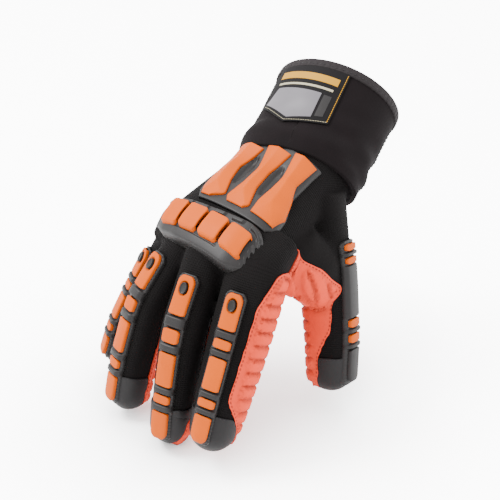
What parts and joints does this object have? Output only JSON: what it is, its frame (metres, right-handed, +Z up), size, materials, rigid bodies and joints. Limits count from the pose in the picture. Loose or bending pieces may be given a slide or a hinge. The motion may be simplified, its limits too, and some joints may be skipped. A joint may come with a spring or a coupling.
{
  "type": "impact work glove",
  "caption": "Right-hand impact work glove with knit back, coral palm, raised rubber guards and long neoprene cuff, in the shape of a hand on its fingertips.",
  "frame": {"origin": "middle of the cuff's mouth, where the hand goes in", "axes": "+Y from the fingers to the cuff, +X to the thumb's side, +Z up"},
  "size_m": [0.1455, 0.2165, 0.1939],
  "materials": {
    "black_knit": "matte knit",
    "coral_leather": "dull synthetic leather",
    "black_leather": "dull synthetic leather",
    "neoprene": "matte neoprene",
    "black_tape": "woven tape",
    "black_label": "woven label",
    "grey_reflective": "smooth reflective film",
    "yellow_print": "matte print",
    "black_rubber": "satin moulded rubber",
    "orange_rubber": "satin moulded rubber"
  },
  "bodies": {
    "root": {"hand_shell": "black_knit", "palm_panel": "coral_leather", "index_tip_cap": "black_leather", "middle_tip_cap": "black_leather", "ring_tip_cap": "black_leather", "little_tip_cap": "black_leather", "thumb_tip_cap": "black_leather", "index_guard_strip": "black_rubber", "index_knuckle_pad": "orange_rubber", "index_short_bar_1": "orange_rubber", "index_long_bar": "orange_rubber", "index_short_bar_2": "orange_rubber", "index_tip_pad": "orange_rubber", "middle_guard_strip": "black_rubber", "middle_knuckle_pad": "orange_rubber", "middle_short_bar_1": "orange_rubber", "middle_long_bar": "orange_rubber", "middle_short_bar_2": "orange_rubber", "middle_tip_pad": "orange_rubber", "ring_guard_strip": "black_rubber", "ring_knuckle_pad": "orange_rubber", "ring_short_bar_1": "orange_rubber", "ring_long_bar": "orange_rubber", "ring_short_bar_2": "orange_rubber", "ring_tip_pad": "orange_rubber", "little_guard_strip": "black_rubber", "little_knuckle_pad": "orange_rubber", "little_short_bar_1": "orange_rubber", "little_long_bar": "orange_rubber", "little_short_bar_2": "orange_rubber", "little_tip_pad": "orange_rubber", "thumb_guard_strip": "black_rubber", "thumb_short_bar_1": "orange_rubber", "thumb_short_bar_2": "orange_rubber", "thumb_short_bar_3": "orange_rubber", "thumb_short_bar_4": "orange_rubber", "thumb_tip_pad": "black_rubber", "hand_guard_plate": "black_rubber", "hand_guard_bar_little_side": "orange_rubber", "hand_guard_bar_middle": "orange_rubber", "hand_guard_bar_thumb_side": "orange_rubber", "knuckle_guard_plate": "black_rubber", "knuckle_guard_block_1": "orange_rubber", "knuckle_guard_block_2": "orange_rubber", "knuckle_guard_block_3": "orange_rubber", "knuckle_guard_block_4": "orange_rubber", "cuff": "neoprene", "cuff_binding": "black_tape", "cuff_label": "black_label", "label_patch": "grey_reflective", "label_bar": "yellow_print"}
  },
  "joints": []
}
